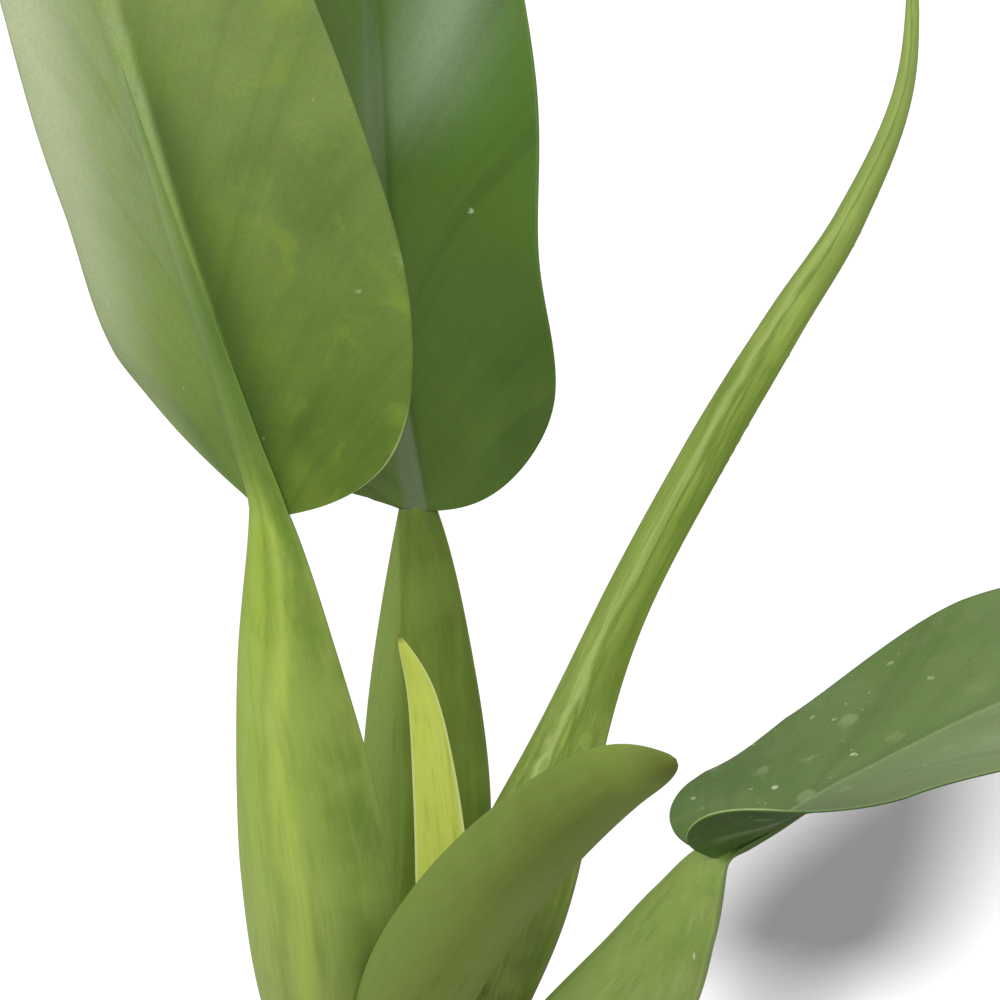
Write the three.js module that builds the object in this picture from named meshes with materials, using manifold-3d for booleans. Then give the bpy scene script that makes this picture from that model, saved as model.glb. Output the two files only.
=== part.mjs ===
// A potted philodendron martianum: three spread leaves, a rolled young leaf, a short bract and a new
// spear on one short stem, in a clay pot.
// Millimetres, +Z up. The origin is the centre of the pot's underside, on the surface it stands on.
// The front of the plant is -Y.

import * as THREE from 'three';
import { mergeVertices } from 'three/addons/utils/BufferGeometryUtils.js';
import Module from 'manifold-3d';

const wasm = await Module();
wasm.setup();

// Pot: a thrown clay pot with a flat rim band, and drain holes set round the middle of its floor
const potHeight = 116;
const potFootRadius = 44;
const potRimRadius = 66;
const potWall = 5;
const potFloor = 7;
const potCorner = 4;
const rimBandHeight = 20;
const rimBandStep = 3.5;
const edgeRound = 1.5;
const drainHoles = 3;
const drainRadius = 5;
const drainCircle = 24;
const drainTurn = 30;

// Soil: fills the pot to a little under the rim, and rises towards the stem
const soilTop = 104;
const soilEdgeDrop = 1.5;
const soilRise = 2;
const soilRings = 6;
const crumbHeight = 0.6;
const stemHoleDepth = 42;

// Stem: short and ringed with leaf scars, with a few thick roots that dip into the soil
const stemRadius = 9.5;
const stemTop = 147;
const stemTopRound = 2;
const stemLevels = 30;
const scarSpacing = 8;
const scarDepth = 0.7;
const rootRadius = 2.2;
const rootHeight = 5;
const rootReach = 26;
const rootDepth = 9;
const rootSlack = 1;
const rootAngles = [60, 145, 178, 300];

// Clearance between pieces that touch
const gap = 0.3;

// Leaves. A route runs from the stalk's foot to the tip, as [x, y, z, turn]: turn is the angle in
// degrees from the front to the way that the upper face looks. joint is the point of the route where
// stalk and blade meet.
// Stalk: half widths at the foot, the belly and the neck. The belly is at the share peak of its length.
// front and back are its depths above and below the route, as shares of the half width. neckTurn, where
// given, is the turn of its neck, and the blade then takes over from it with the turn of the route.
// Blade: half is the half width, reached at the share widest of its length, and reach the share of it
// that the left half and the right half spread to. fold is how far the left half and the right half
// rise at the base, and both at the tip, in degrees. lobes is how far each half reaches back past the
// joint. rib is the height of the midrib under the base, and wave the height of the ripples at the
// margin.
const leafFrontLeft = {
  name: 'leaf_front_left',
  route: [
    [-10, -5, 124, 170], [-17, -14, 166, 170], [-19, -22, 206, 168], [-23, -24, 252, 150],
    [-26.4, -26, 288, 138], [-34, -28, 316, 145], [-44.5, -26, 350, 147], [-57, -16, 391, 149],
    [-70, 0, 428, 151], [-87, 30, 466, 151],
  ],
  joint: 4,
  stalk: { foot: 6, belly: 16, neck: 5.4, peak: 0.5, front: 0.35, back: 0.7 },
  blade: {
    half: 42.3, widest: 0.4, reach: [1, 1], fold: [12, 12, 20], lobes: [-1, -3], rib: 3, wave: 0.8,
  },
  color: 0x7f9c4c,
};
const leafBack = {
  name: 'leaf_back',
  route: [
    [-3, 10, 128, 0], [-1, 18, 160, 0], [2, 22, 191, 0], [2, 25, 228, -4],
    [1, 28, 264, -8], [-3, 31, 288, -3], [-6, 33, 324, -10], [-8, 34, 364, 2],
    [-10, 31, 418, 8], [-13, 20, 464, 8],
  ],
  joint: 4,
  stalk: { foot: 6, belly: 14, neck: 4, peak: 0.52, front: 0.35, back: 0.7 },
  blade: {
    half: 36.5, widest: 0.42, reach: [1, 1], fold: [8, 8, 20], lobes: [-4, 2], rib: 2.6, wave: 0.8,
  },
  color: 0x4e6f2e,
};
const leafRight = {
  name: 'leaf_right',
  route: [
    [9, -6, 121, -40], [28, -11, 147, -40], [46, -15, 173, -42], [55, -18, 193, -50],
    [62, -20, 209, -100], [72, -17, 213, -100], [90, -10, 221, -98], [128, 5, 233, -84],
    [170, 22, 236, -84], [224, 38, 228, -84],
  ],
  joint: 4,
  stalk: { foot: 6, belly: 14.5, neck: 3.8, peak: 0.35, front: 0.35, back: 0.7, neckTurn: -60 },
  blade: {
    half: 34.5, widest: 0.45, reach: [1.03, 1], fold: [20, 40, 8], lobes: [6.5, 7], rib: 2.4, wave: 0.8,
  },
  color: 0x5f7f42,
};
const bladeThickness = 0.8;

// The young leaf at the back right: a stalk that swells low down, over the share spread of its length,
// with the blade above it still rolled round itself. The free margin stands off as a step that winds
// round the roll by seamTwist degrees.
const rolledLeaf = {
  name: 'leaf_rolled',
  route: [
    [8.5, 6, 130, -40], [16.5, 8, 168, -40], [28, 10, 205, -35], [42.6, 14, 246, -28],
    [59.8, 16, 282, -20], [75.2, 20, 309, 0], [88.2, 23, 331, 25], [98, 25, 358, 50],
    [99, 28, 390, 70],
  ],
  joint: 4,
  stalk: { belly: 13, neck: 4.8, peak: 0.34, spread: 0.25, front: 0.6, back: 0.8 },
  tipHalf: 0.7,
  seamStep: 0.17,
  seamTwist: 150,
  color: 0x9bb158,
};

// The short blunt bract at the front, and the new spear with a keel down each side. Both swell from
// the foot to the belly at the share swell of their length. bluntness says how late the tip closes, and
// taper how sharply: 0.5 closes it round, 1 to a point.
const frontBract = {
  name: 'bract_front',
  route: [
    [2, -10, 119, 180], [-2, -20, 153, 180], [0.5, -31, 181, 180], [9.5, -43, 206.5, 180],
    [23, -60, 234, 178], [38, -84, 261, 174], [50, -100, 273.8, 170],
  ],
  foot: 5.5,
  belly: 12,
  swell: 0.45,
  bluntness: 1.7,
  taper: 0.55,
  front: 0.25,
  back: 0.62,
  keel: 0,
  rings: 20,
  color: 0x6b7c38,
};
const newSpear = {
  name: 'new_spear',
  route: [
    [3, -2, 147.8, 0], [6.4, -3, 172, 0], [6, -3, 196, 0], [4.5, -3, 218, 0],
    [2, -3, 237, 0], [-2.5, -4, 251, 0],
  ],
  foot: 4.3,
  belly: 4.9,
  swell: 0.35,
  bluntness: 1.3,
  taper: 0.7,
  front: 0.55,
  back: 0.6,
  keel: 0.16,
  rings: 16,
  color: 0xb2be5a,
};

// How the growing parts round off and taper
const stalkTaper = 1.6;
const stalkInBlade = 0.5;
const stalkThinning = 0.75;
const sectionKeenness = 1.3;
const bladeFooting = 2.5;
const baseRoundness = 3;
const tipTaper = 2.4;
const tipKeenness = 1.1;
const openingLength = 0.4;
const ripples = 2.5;
const rippleLag = 0.35;
const ribHalfBase = 4.2;
const ribHalfTip = 1.2;
const ribTipHeight = 0.5;
const ribShareAbove = 0.3;
const rollStart = 0.08;
const rollTaper = 1.2;
const smallestTip = 0.06;

// How finely the shapes are divided
const roundSegments = 40;
const stemSegments = 20;
const holeSegments = 24;
const rootSegments = 4;
const rootSteps = 14;
const stalkSides = 16;
const stalkRings = 18;
const bladeRows = 22;
const bladeColumns = 14;
const rolledSides = 18;
const rolledRings = 34;
const shootSides = 14;

const lerp = THREE.MathUtils.lerp;
const radians = THREE.MathUtils.degToRad;
const smoothstep = THREE.MathUtils.smoothstep;

// A smooth course through the points of a route, and the frame at a place along it, counted in spans
function layRoute(route) {
  const points = route.map(([x, y, z]) => new THREE.Vector3(x, y, z));
  const turns = route.map((point) => new THREE.Vector3(point[3], 0, 0));
  return {
    path: new THREE.CatmullRomCurve3(points, false, 'catmullrom', 0.5),
    turns: new THREE.CatmullRomCurve3(turns, false, 'catmullrom', 0.5),
    spans: route.length - 1,
  };
}

function frameAt(course, place) {
  const t = THREE.MathUtils.clamp(place / course.spans, 0, 1);
  const step = 1e-4;
  const point = course.path.getPoint(t);
  const ahead = course.path.getPoint(Math.min(t + step, 1));
  const behind = course.path.getPoint(Math.max(t - step, 0));
  const along = ahead.sub(behind).normalize();
  const front = new THREE.Vector3(0, -1, 0);
  front.addScaledVector(along, -front.dot(along)).normalize();
  const right = along.clone().cross(front);
  const turn = radians(course.turns.getPoint(t).x);
  const face = front.multiplyScalar(Math.cos(turn)).addScaledVector(right, Math.sin(turn));
  return { point, along, face, side: along.clone().cross(face) };
}

// Mesh helpers
function weld(geometry) {
  geometry.deleteAttribute('normal');
  geometry.deleteAttribute('uv');
  const welded = mergeVertices(geometry, 1e-4);
  const kept = [];
  const index = welded.index.array;
  for (let i = 0; i < index.length; i += 3) {
    const [a, b, c] = [index[i], index[i + 1], index[i + 2]];
    if (a !== b && b !== c && c !== a) {
      kept.push(a, b, c);
    }
  }
  welded.setIndex(kept);
  return welded;
}

function toSolid(geometry) {
  return new wasm.Manifold(new wasm.Mesh({
    numProp: 3,
    vertProperties: Float32Array.from(geometry.attributes.position.array),
    triVerts: Uint32Array.from(geometry.index.array),
  }));
}

function makeMesh(name, solid, color, roughness) {
  const built = solid.getMesh();
  const geometry = new THREE.BufferGeometry();
  geometry.setAttribute('position', new THREE.BufferAttribute(built.vertProperties, 3));
  geometry.setIndex(new THREE.BufferAttribute(built.triVerts, 1));
  geometry.computeVertexNormals();
  const material = new THREE.MeshStandardMaterial({ color, roughness, metalness: 0 });
  const mesh = new THREE.Mesh(geometry, material);
  mesh.name = name;
  return mesh;
}

// A profile of [radius, height] pairs turned about the vertical axis
function turnProfile(profile, segments) {
  const points = profile.map(([radius, height]) => new THREE.Vector2(radius, height));
  return weld(new THREE.LatheGeometry(points, segments).rotateX(Math.PI / 2));
}

// An upright round bar between two heights
function roundBar(radius, low, high, x, y, segments) {
  const bar = new THREE.CylinderGeometry(radius, radius, high - low, segments);
  bar.rotateX(Math.PI / 2);
  bar.translate(x, y, (low + high) / 2);
  return toSolid(weld(bar));
}

// A closed shoot: a capped cylinder whose rings are laid along a course. place(s, angle, reach)
// gives the position of a point at share s of the length, where reach is 0 on the axis, 1 outside.
function growShoot(sides, rings, place) {
  const geometry = weld(new THREE.CylinderGeometry(1, 1, 1, sides, rings));
  const position = geometry.attributes.position;
  for (let i = 0; i < position.count; i += 1) {
    const reach = Math.hypot(position.getX(i), position.getZ(i));
    const angle = Math.atan2(position.getZ(i), position.getX(i));
    const at = place(position.getY(i) + 0.5, angle, reach);
    position.setXYZ(i, at.x, at.y, at.z);
  }
  return geometry;
}

// Half width of a stalk at share s of its length
function stalkHalf({ foot, belly, neck, peak, spread }, s) {
  if (spread) {
    return lerp(neck, belly, Math.exp(-(((s - peak) / spread) ** 2)));
  }
  if (s < peak) {
    return lerp(belly, foot, (1 - s / peak) ** 2);
  }
  return lerp(belly, neck, ((s - peak) / (1 - peak)) ** stalkTaper);
}

// A point of a section: flatter on the upper face, rounder under it, keen at the margins
function sectionPoint(frame, half, angle, front, back) {
  const rise = Math.sin(angle);
  const depth = (rise > 0 ? front : back) * Math.sign(rise) * Math.abs(rise) ** sectionKeenness;
  return frame.point.clone()
    .addScaledVector(frame.side, half * Math.cos(angle))
    .addScaledVector(frame.face, half * depth);
}

// The stalk runs a little way into the blade, where it thins out inside the rib
function growStalk({ route, joint, stalk }) {
  const turned = route.map(([x, y, z, turn], i) => [x, y, z, i === joint ? stalk.neckTurn ?? turn : turn]);
  const course = layRoute(turned);
  return growShoot(stalkSides, stalkRings, (s, angle, reach) => {
    const place = s * (joint + stalkInBlade);
    const past = Math.max(0, place - joint) / stalkInBlade;
    const half = stalkHalf(stalk, Math.min(1, place / joint)) * (1 - stalkThinning * past ** 2);
    return sectionPoint(frameAt(course, place), half * reach, angle, stalk.front, stalk.back);
  });
}

// Half width of a blade at share v of its length, rounded at the base and drawn out at the tip
function bladeHalf({ half, widest }, v) {
  const footing = bladeFooting * (1 - v);
  if (v < widest) {
    return Math.hypot(half * Math.sqrt(1 - (1 - v / widest) ** baseRoundness), footing);
  }
  const beyond = (v - widest) / (1 - widest);
  return Math.hypot(half * Math.max(0, 1 - beyond ** tipTaper) ** tipKeenness, footing);
}

// A point on the middle sheet of a blade. u runs from -1 to 1 across it, v from 0 to 1 along it.
function bladePoint(blade, course, u, v) {
  const frame = frameAt(course, v * course.spans);
  const half = u < 0 ? 0 : 1;
  const across = Math.abs(u);
  const width = blade.reach[half] * bladeHalf(blade, v);
  const opened = smoothstep(v, 0, openingLength);
  const rise = radians(lerp(blade.fold[half], blade.fold[2], opened));
  const broad = v < blade.widest ? Math.min(1, width / blade.half) : 1;
  const back = blade.lobes[half] * across ** 1.5 * Math.sin(Math.PI * broad);
  const ripple = Math.sin(2 * Math.PI * (ripples * v + (half ? 0 : rippleLag)));
  const wave = blade.wave * across ** 2 * Math.min(1, 6 * v) * (1 - v) * ripple;
  return frame.point
    .addScaledVector(frame.side, width * u * Math.cos(rise))
    .addScaledVector(frame.face, width * across * Math.sin(rise) + wave)
    .addScaledVector(frame.along, -back);
}

// Thickness over and under a blade's middle sheet: a raised rib that fades towards the tip
function bladeDepths(blade, u, v) {
  const offset = Math.abs(u) * bladeHalf(blade, v);
  const ribHalf = lerp(ribHalfBase, ribHalfTip, v ** 0.7);
  const ridge = Math.exp(-((offset / ribHalf) ** 2));
  return {
    over: bladeThickness / 2 + ribShareAbove * blade.rib * (1 - v) * ridge,
    under: bladeThickness / 2 + lerp(blade.rib, ribTipHeight, v ** 0.6) * ridge,
  };
}

// The way the upper face of a blade looks at (u, v), by small steps along and across the sheet
function bladeNormal(blade, course, u, v) {
  const step = 1e-3;
  const along = bladePoint(blade, course, u, Math.min(v + step, 1))
    .sub(bladePoint(blade, course, u, Math.max(v - step, 0)));
  const across = bladePoint(blade, course, Math.min(u + step, 1), v)
    .sub(bladePoint(blade, course, Math.max(u - step, -1), v));
  if (across.lengthSq() < 1e-8) {
    return frameAt(course, course.spans).face;
  }
  return across.cross(along).normalize();
}

// Rows crowd together at the base and columns at the rib, where the sheet bends most
function growBlade({ route, joint, blade }) {
  const course = layRoute(route.slice(joint));
  const upper = [];
  const lower = [];
  for (let row = 0; row <= bladeRows; row += 1) {
    const v = (row / bladeRows) ** 1.5;
    for (let column = 0; column <= bladeColumns; column += 1) {
      const even = (2 * column) / bladeColumns - 1;
      const u = Math.sign(even) * Math.abs(even) ** 1.4;
      const middle = bladePoint(blade, course, u, v);
      const normal = bladeNormal(blade, course, u, v);
      const { over, under } = bladeDepths(blade, u, v);
      upper.push(middle.clone().addScaledVector(normal, over));
      lower.push(middle.clone().addScaledVector(normal, -under));
    }
  }
  return skinSheet(upper, lower, bladeRows, bladeColumns);
}

// Two grids of points joined into one closed sheet, split alike on both faces
function skinSheet(upper, lower, rows, columns) {
  const positions = [...upper, ...lower].flatMap((point) => point.toArray());
  const under = upper.length;
  const at = (row, column) => row * (columns + 1) + column;
  const index = [];
  for (let row = 0; row < rows; row += 1) {
    for (let column = 0; column < columns; column += 1) {
      const [a, b] = [at(row, column), at(row, column + 1)];
      const [c, d] = [at(row + 1, column + 1), at(row + 1, column)];
      index.push(a, b, c, a, c, d);
      index.push(under + a, under + c, under + b, under + a, under + d, under + c);
    }
  }
  const rim = [];
  for (let column = 0; column < columns; column += 1) {
    rim.push([at(0, column), at(0, column + 1)]);
    rim.push([at(rows, column + 1), at(rows, column)]);
  }
  for (let row = 0; row < rows; row += 1) {
    rim.push([at(row + 1, 0), at(row, 0)]);
    rim.push([at(row, columns), at(row + 1, columns)]);
  }
  for (const [from, to] of rim) {
    index.push(from, under + from, under + to, from, under + to, to);
  }
  const geometry = new THREE.BufferGeometry();
  geometry.setAttribute('position', new THREE.Float32BufferAttribute(positions, 3));
  geometry.setIndex(index);
  return weld(geometry);
}

// Pot: the outer wall flares from foot to rim band, and the inside follows it
const bandBottom = potHeight - rimBandHeight;
const wallAt = (z) => lerp(potFootRadius, potRimRadius - rimBandStep, z / bandBottom);
const potInside = [
  [potFootRadius - potWall - potCorner, potFloor],
  [wallAt(potFloor + potCorner) - potWall, potFloor + potCorner],
  [wallAt(bandBottom) - potWall, bandBottom],
  [potRimRadius - potWall, potHeight - edgeRound / 2],
];

function makePot() {
  const profile = [
    [0, 0],
    [potFootRadius - edgeRound, 0],
    [potFootRadius, edgeRound],
    [wallAt(bandBottom) - edgeRound / 2, bandBottom - edgeRound / 2],
    [potRimRadius - edgeRound / 2, bandBottom],
    [potRimRadius, bandBottom + edgeRound / 2],
    [potRimRadius, potHeight - edgeRound],
    [potRimRadius - edgeRound, potHeight],
    [potRimRadius - potWall + edgeRound / 2, potHeight],
    ...potInside.toReversed(),
    [0, potFloor],
  ];
  let solid = toSolid(turnProfile(profile, roundSegments));
  for (let i = 0; i < drainHoles; i += 1) {
    const angle = radians(drainTurn + (360 * i) / drainHoles);
    const [x, y] = [drainCircle * Math.cos(angle), drainCircle * Math.sin(angle)];
    solid = solid.subtract(roundBar(drainRadius, -potFloor, 2 * potFloor, x, y, holeSegments));
  }
  return solid;
}

// Soil: follows the pot's inside with the clearance, with holes for the stem and its roots
function makeSoil() {
  const edgeHeight = soilTop - soilEdgeDrop;
  const [[bandRadius, bandStart], [lipRadius, lip]] = potInside.slice(2);
  const topRadius = lerp(bandRadius, lipRadius, (edgeHeight - bandStart) / (lip - bandStart)) - gap;
  const profile = [[0, potFloor + gap]];
  for (const [radius, z] of potInside.slice(0, 3)) {
    profile.push([radius - gap, z + gap]);
  }
  profile.push([topRadius, edgeHeight]);
  for (let i = 1; i <= soilRings; i += 1) {
    const inward = i / soilRings;
    profile.push([topRadius * (1 - inward), soilTop + soilRise * inward ** 2]);
  }
  const geometry = turnProfile(profile, roundSegments);
  roughenSoil(geometry.attributes.position, topRadius);
  const above = soilTop + stemHoleDepth;
  const stemHole = roundBar(stemRadius + gap, soilTop - stemHoleDepth, above, 0, 0, holeSegments);
  let solid = toSolid(geometry).subtract(stemHole);
  for (const degrees of rootAngles) {
    const angle = radians(degrees);
    const [x, y] = [rootReach * Math.cos(angle), rootReach * Math.sin(angle)];
    const low = soilTop - rootDepth - gap;
    solid = solid.subtract(roundBar(rootRadius + rootSlack, low, above, x, y, holeSegments / 2));
  }
  return solid;
}

// Crumbs of the soil's surface, as a low uneven relief
function roughenSoil(position, topRadius) {
  for (let i = 0; i < position.count; i += 1) {
    const [x, y, z] = [position.getX(i), position.getY(i), position.getZ(i)];
    const onTop = z > soilTop - soilEdgeDrop / 2;
    if (onTop && Math.hypot(x, y) < 0.98 * topRadius) {
      const bumps = Math.sin(0.9 * x + 1.3) * Math.sin(0.8 * y - 0.4) + Math.sin(0.05 * x * y);
      position.setZ(i, z + crumbHeight * bumps);
    }
  }
}

// Stem: straight in the soil, ringed with scars above it
function stemRadiusAt(z) {
  if (z < soilTop) {
    return stemRadius;
  }
  const ring = Math.cos((2 * Math.PI * (z - soilTop)) / scarSpacing);
  return stemRadius - scarDepth * Math.max(0, ring) ** 6;
}

function makeStem() {
  const low = soilTop - stemHoleDepth + gap;
  const profile = [[0, low]];
  for (let i = 0; i <= stemLevels; i += 1) {
    const z = lerp(low, stemTop - stemTopRound, i / stemLevels);
    profile.push([stemRadiusAt(z), z]);
  }
  profile.push([stemRadius - stemTopRound, stemTop], [0, stemTop]);
  let solid = toSolid(turnProfile(profile, stemSegments));
  rootAngles.forEach((degrees, i) => {
    solid = solid.add(growRoot(radians(degrees), soilTop + rootHeight + (i % 2)));
  });
  return solid;
}

// A root leaves the stem level, arches over and ends straight down in its hole
function growRoot(angle, height) {
  const out = new THREE.Vector3(Math.cos(angle), Math.sin(angle), 0);
  const at = (radius, z) => out.clone().multiplyScalar(radius).setZ(z);
  const extrudePath = new THREE.CatmullRomCurve3([
    at(stemRadius / 2, height), at(stemRadius + 3, height + 1), at(rootReach - 6, height),
    at(rootReach, soilTop + 4), at(rootReach, soilTop), at(rootReach, soilTop - rootDepth),
  ], false, 'catmullrom', 0.5);
  const section = new THREE.Shape();
  section.absarc(0, 0, rootRadius, 0, 2 * Math.PI);
  const options = { steps: rootSteps, extrudePath, curveSegments: rootSegments };
  return toSolid(weld(new THREE.ExtrudeGeometry(section, options)));
}

// The room that the stem takes, with its clearance, cut out of every leaf that clasps it
const stemRoom = roundBar(stemRadius + gap, 0, stemTop + gap, 0, 0, holeSegments);

function makeLeaf(leaf) {
  return toSolid(growStalk(leaf)).add(toSolid(growBlade(leaf))).subtract(stemRoom);
}

// Rolled leaf: past the joint the section is a blade wound on itself, with the free margin as a step
function rolledHalf(leaf, s, jointShare) {
  if (s < jointShare) {
    return stalkHalf(leaf.stalk, s / jointShare);
  }
  const beyond = (s - jointShare) / (1 - jointShare);
  return lerp(leaf.stalk.neck, leaf.tipHalf, beyond ** rollTaper);
}

function makeRolledLeaf(leaf) {
  const course = layRoute(leaf.route);
  const jointShare = leaf.joint / course.spans;
  const geometry = growShoot(rolledSides, rolledRings, (s, angle, reach) => {
    const frame = frameAt(course, s * course.spans);
    const half = rolledHalf(leaf, s, jointShare) * reach;
    const rolled = smoothstep(s, jointShare - rollStart, jointShare + rollStart);
    const share = THREE.MathUtils.euclideanModulo(angle / (2 * Math.PI), 1);
    const wound = Math.min(1, (share * rolledSides) / (rolledSides - 1));
    const spread = lerp(share, 0.985 * wound, rolled) * 2 * Math.PI;
    const twist = radians(leaf.seamTwist) * Math.max(0, s - jointShare + rollStart);
    const radius = half * (1 + leaf.seamStep * rolled * (0.5 - wound));
    const flat = sectionPoint(frame, half, angle, leaf.stalk.front, leaf.stalk.back);
    const round = frame.point.clone()
      .addScaledVector(frame.side, radius * Math.cos(spread + twist))
      .addScaledVector(frame.face, radius * Math.sin(spread + twist));
    return flat.lerp(round, rolled);
  });
  return toSolid(geometry).subtract(stemRoom);
}

// Half width of the bract or the spear at share s of its length
function shootHalf({ foot, belly, swell, bluntness, taper }, s) {
  const rise = s < swell ? 1 - (1 - s / swell) ** 2 : 1;
  const fall = s > swell ? (s - swell) / (1 - swell) : 0;
  return lerp(foot, belly, rise) * Math.max(smallestTip, (1 - fall ** bluntness) ** taper);
}

// Rings crowd together towards the tip, which closes quickly
function makeShoot(shoot) {
  const course = layRoute(shoot.route);
  const geometry = growShoot(shootSides, shoot.rings, (s, angle, reach) => {
    const t = 1 - (1 - s) ** 1.25;
    const keels = shoot.keel * Math.max(0, Math.cos(2 * angle)) ** 4;
    const half = shootHalf(shoot, t) * reach * (1 + keels);
    return sectionPoint(frameAt(course, t * course.spans), half, angle, shoot.front, shoot.back);
  });
  return toSolid(geometry).subtract(stemRoom);
}

const plant = new THREE.Group();
plant.name = 'potted_philodendron_martianum';
plant.add(makeMesh('pot', makePot(), 0xb5704a, 0.85));
plant.add(makeMesh('soil', makeSoil(), 0x3a2c22, 0.95));
plant.add(makeMesh('stem', makeStem(), 0x7d8250, 0.7));
for (const leaf of [leafFrontLeft, leafBack, leafRight]) {
  plant.add(makeMesh(leaf.name, makeLeaf(leaf), leaf.color, 0.4));
}
plant.add(makeMesh(rolledLeaf.name, makeRolledLeaf(rolledLeaf), rolledLeaf.color, 0.4));
for (const shoot of [frontBract, newSpear]) {
  plant.add(makeMesh(shoot.name, makeShoot(shoot), shoot.color, 0.5));
}

export default plant;
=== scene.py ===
import math
import random

import bmesh
import bpy
from mathutils import Matrix, Vector, noise


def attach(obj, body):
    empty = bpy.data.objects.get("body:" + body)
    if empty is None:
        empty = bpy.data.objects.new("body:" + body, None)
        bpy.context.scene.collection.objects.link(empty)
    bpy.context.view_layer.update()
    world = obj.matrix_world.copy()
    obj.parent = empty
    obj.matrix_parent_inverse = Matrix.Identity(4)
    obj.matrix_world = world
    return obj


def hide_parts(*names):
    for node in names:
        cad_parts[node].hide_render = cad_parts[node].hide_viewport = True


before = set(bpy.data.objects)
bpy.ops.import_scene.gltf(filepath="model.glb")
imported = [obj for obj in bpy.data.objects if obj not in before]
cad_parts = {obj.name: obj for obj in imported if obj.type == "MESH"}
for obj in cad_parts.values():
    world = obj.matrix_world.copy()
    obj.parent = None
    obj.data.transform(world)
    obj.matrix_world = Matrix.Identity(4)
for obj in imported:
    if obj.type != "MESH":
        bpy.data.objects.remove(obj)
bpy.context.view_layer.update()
print("frame loaded")

mm = 0.001  # sizes are written in millimetres, and the frame is in metres

# the view looks down on the plant from the front, close in
view = {
    "target": (18, 0, 279), "distance": 950, "elevation": 25, "lens": 171, "sensor": 36,
    "farthest": 60,
}


def addObject(name, data):
    made = bpy.data.objects.new(name, data)
    bpy.context.scene.collection.objects.link(made)
    return made


def placeCamera():
    camera = addObject("camera", bpy.data.cameras.new("camera"))
    bpy.context.scene.camera = camera
    camera.data.lens = view["lens"]
    camera.data.sensor_width = view["sensor"]
    camera.data.clip_end = view["farthest"]
    tilt = math.radians(view["elevation"])
    back = Vector((0, -math.cos(tilt), math.sin(tilt)))
    camera.location = (Vector(view["target"]) + back * view["distance"]) * mm
    camera.rotation_euler = (math.pi / 2 - tilt, 0, 0)


placeCamera()


def lerp(a, b, share):
    return a + (b - a) * share


def clamp(value, low=0.0, high=1.0):
    return max(low, min(high, value))


def smoothstep(value, low, high):
    share = clamp((value - low) / (high - low))
    return share * share * (3 - 2 * share)


# a colour as a screen shows it, 0 to 255, made linear for the shader
def tint(red, green, blue):
    channels = []
    for value in (red, green, blue):
        share = value / 255
        channels.append(share / 12.92 if share <= 0.04045 else ((share + 0.055) / 1.055) ** 2.4)
    return (*channels, 1.0)


# smooth chance heights that lie about a size apart
def rough(x, y, z, size):
    return noise.noise(Vector((x, y, z)) / size)


# a smooth course through the points of a route, counted in spans
class Course:
    def __init__(self, route):
        points = [Vector(point[:3]) for point in route]
        turns = [point[3] for point in route]
        self.points = [points[0] * 2 - points[1], *points, points[-1] * 2 - points[-2]]
        self.turns = [turns[0] * 2 - turns[1], *turns, turns[-1] * 2 - turns[-2]]
        self.spans = len(route) - 1
        self.known = {}

    def along(self, values, place):
        first = min(int(place), self.spans - 1)
        t = place - first
        a, b, c, d = values[first:first + 4]
        into, out = (c - a) * 0.5, (d - b) * 0.5
        square, cube = c * 3 - b * 3 - into * 2 - out, b * 2 - c * 2 + into + out
        value = b + into * t + square * t ** 2 + cube * t ** 3
        slope = into + square * (2 * t) + cube * (3 * t * t)
        return value, slope

    def at(self, place):
        key = round(clamp(place, 0, self.spans), 5)
        if key not in self.known:
            point, slope = self.along(self.points, key)
            turn = math.radians(self.along(self.turns, key)[0])
            along = slope.normalized()
            front = Vector((0, -1, 0))
            front = (front - along * front.dot(along)).normalized()
            face = front * math.cos(turn) + along.cross(front) * math.sin(turn)
            self.known[key] = (point, along, face, along.cross(face))
        return self.known[key]

    def length(self, start, end, steps=40):
        places = [lerp(start, end, i / steps) for i in range(steps + 1)]
        return sum((self.at(b)[0] - self.at(a)[0]).length for a, b in zip(places, places[1:]))


def meshData(name, mesh):
    data = bpy.data.meshes.new(name)
    mesh.to_mesh(data)
    mesh.free()
    return data


def addPiece(name, mesh, materials, node):
    for face in mesh.faces:
        face.smooth = True
    piece = addObject(name, meshData(name, mesh))
    for material in materials:
        piece.data.materials.append(material)
    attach(piece, "root")
    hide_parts(node)
    return piece


# a socket that can be used in sums
class Wire:
    def __init__(self, paint, socket):
        self.paint = paint
        self.socket = socket

    def math(self, operation, *others):
        return self.paint.math(operation, self, *others)

    def __add__(self, other):
        return self.math("ADD", other)

    __radd__ = __add__

    def __sub__(self, other):
        return self.math("SUBTRACT", other)

    def __rsub__(self, other):
        return self.paint.math("SUBTRACT", other, self)

    def __mul__(self, other):
        return self.math("MULTIPLY", other)

    __rmul__ = __mul__

    def __truediv__(self, other):
        return self.math("DIVIDE", other)

    def __rtruediv__(self, other):
        return self.paint.math("DIVIDE", other, self)

    def __neg__(self):
        return self.math("MULTIPLY", -1.0)

    def size(self):
        return self.math("ABSOLUTE")

    def clipped(self):
        return self.math("MAXIMUM", 0.0).math("MINIMUM", 1.0)

    def rise(self, low, high):
        settings = {"interpolation_type": "SMOOTHSTEP"}
        sockets = {"Value": self, "From Min": low, "From Max": high}
        return self.paint.node("ShaderNodeMapRange", settings, sockets)

    def bell(self, width):
        return (-((self / width) * (self / width))).math("EXPONENT")


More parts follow.
